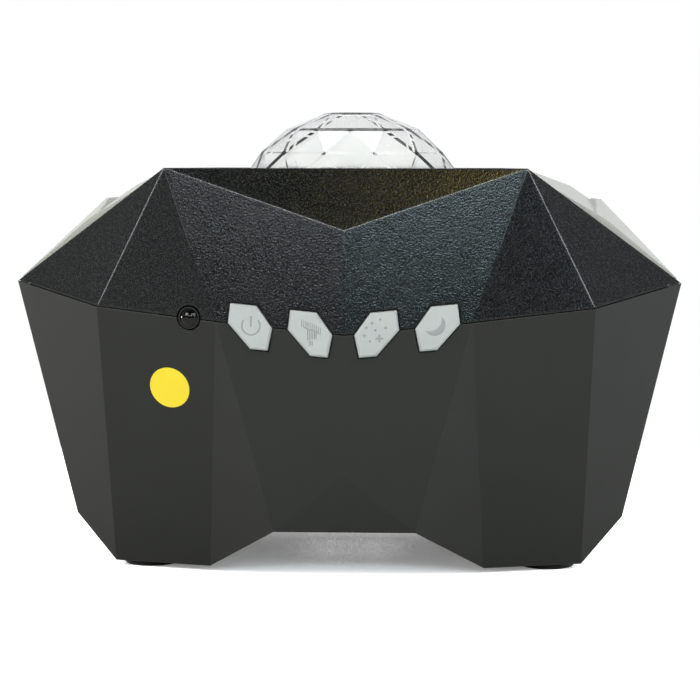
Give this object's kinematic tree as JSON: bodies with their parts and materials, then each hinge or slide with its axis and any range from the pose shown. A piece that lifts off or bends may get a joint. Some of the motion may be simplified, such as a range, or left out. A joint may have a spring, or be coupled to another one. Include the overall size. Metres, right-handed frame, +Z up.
{
  "type": "planetarium projector",
  "caption": "Faceted table-top star, moon and aurora projector with a clear crystal dome, frosted side light covers, push buttons and a geared optical engine.",
  "frame": {"origin": "on the table under the middle of the housing", "axes": "+Z up, front with the buttons towards -Y, +X to the right seen from the front"},
  "size_m": [0.198, 0.1375, 0.1378],
  "materials": {
    "housing_satin": "satin black moulded ABS",
    "housing_grain": "fine spark grain black moulded ABS",
    "cover_frost": "frosted light grey polycarbonate",
    "crystal_clear": "clear polished acrylic",
    "ring_black": "satin black",
    "plate_white": "white moulded ABS",
    "button_grey": "light grey moulded ABS",
    "steel": "zinc plated",
    "rubber": "black rubber",
    "frame_black": "black ABS",
    "aluminium": "extruded",
    "pcb_green": "green solder mask",
    "pcb_white": "white solder mask",
    "led": "phosphor",
    "lens_clear": "clear polycarbonate",
    "gear_nylon": "natural acetal",
    "brass": "turned",
    "motor_can": "deep drawn",
    "film": "printed film",
    "switch_black": "black PBT",
    "ir_black": "infrared passing black acrylic",
    "label_yellow": "printed vinyl",
    "chips": "moulded packages",
    "cone_paper": "pressed paper"
  },
  "bodies": {
    "housing": {"lower_housing": "housing_satin", "upper_housing": "housing_grain", "side_cover_left": "cover_frost", "side_cover_right": "cover_frost", "crystal_dome": "crystal_clear", "dome_ring": "ring_black", "aperture_plate": "plate_white", "housing_screws": "steel", "frame_screws": "steel", "dome_screws": "steel", "bridge_screws": "steel", "heat_sink_screws": "steel", "board_screws": "steel", "guide_screws": "steel", "rubber_feet": "rubber", "inner_frame": "frame_black", "heat_sink": "aluminium", "led_board": "pcb_white", "led_emitters": "led", "collimator_lens": "lens_clear", "star_laser": "brass", "drive_motor": "motor_can", "moon_barrel": "frame_black", "moon_slide": "film", "moon_lens": "lens_clear", "moon_spacer": "frame_black", "moon_led_board": "pcb_white", "bridge_plate": "frame_black", "fixed_ripple_lens": "lens_clear", "button_guide": "frame_black", "button_board": "pcb_green", "tact_switches": "switch_black", "infrared_window": "ir_black", "infrared_receiver": "switch_black", "infrared_label": "label_yellow", "main_board": "pcb_green", "board_components": "chips", "dc_socket": "switch_black", "speaker_frame": "motor_can", "speaker_cone": "cone_paper", "speaker_magnet": "steel", "light_board_left": "pcb_white", "light_board_right": "pcb_white", "light_emitters": "led"},
    "power_key": {"button_power": "button_grey"},
    "aurora_key": {"button_aurora": "button_grey"},
    "stars_key": {"button_stars": "button_grey"},
    "moon_key": {"button_moon": "button_grey"},
    "ripple_wheel": {"ripple_gear": "gear_nylon", "ripple_disc": "lens_clear"},
    "star_wheel": {"star_gear": "gear_nylon", "star_grating": "lens_clear"},
    "motor_rotor": {"motor_shaft": "steel", "drive_pinion": "gear_nylon"}
  },
  "joints": [
    {"name": "power_press", "type": "slide", "parent": "housing", "child": "power_key", "axis": [0.1024, 0.9947, 0], "range_m": [0, 0.0006], "stiffness_N_per_m": 1500, "springref_m": -0.0003},
    {"name": "aurora_press", "type": "slide", "parent": "housing", "child": "aurora_key", "axis": [0.1024, 0.9947, 0], "range_m": [0, 0.0006], "stiffness_N_per_m": 1500, "springref_m": -0.0003},
    {"name": "stars_press", "type": "slide", "parent": "housing", "child": "stars_key", "axis": [-0.1024, 0.9947, 0], "range_m": [0, 0.0006], "stiffness_N_per_m": 1500, "springref_m": -0.0003},
    {"name": "moon_press", "type": "slide", "parent": "housing", "child": "moon_key", "axis": [-0.1024, 0.9947, 0], "range_m": [0, 0.0006], "stiffness_N_per_m": 1500, "springref_m": -0.0003},
    {"name": "ripple_spin", "type": "hinge", "parent": "housing", "child": "ripple_wheel", "pos_m": [0, 0, 0.06805], "axis": [0, 0, 1], "continuous": true},
    {"name": "star_spin", "type": "hinge", "parent": "housing", "child": "star_wheel", "pos_m": [-0.03, 0, 0.06805], "axis": [0, 0, 1], "continuous": true},
    {"name": "motor_spin", "type": "hinge", "parent": "housing", "child": "motor_rotor", "pos_m": [0.012, -0.02078, 0.06805], "axis": [0, 0, 1], "continuous": true}
  ],
  "couplings": [
    {"joint": "star_spin", "follows": "ripple_spin", "ratio": -1.5},
    {"joint": "motor_spin", "follows": "ripple_spin", "ratio": -3}
  ]
}
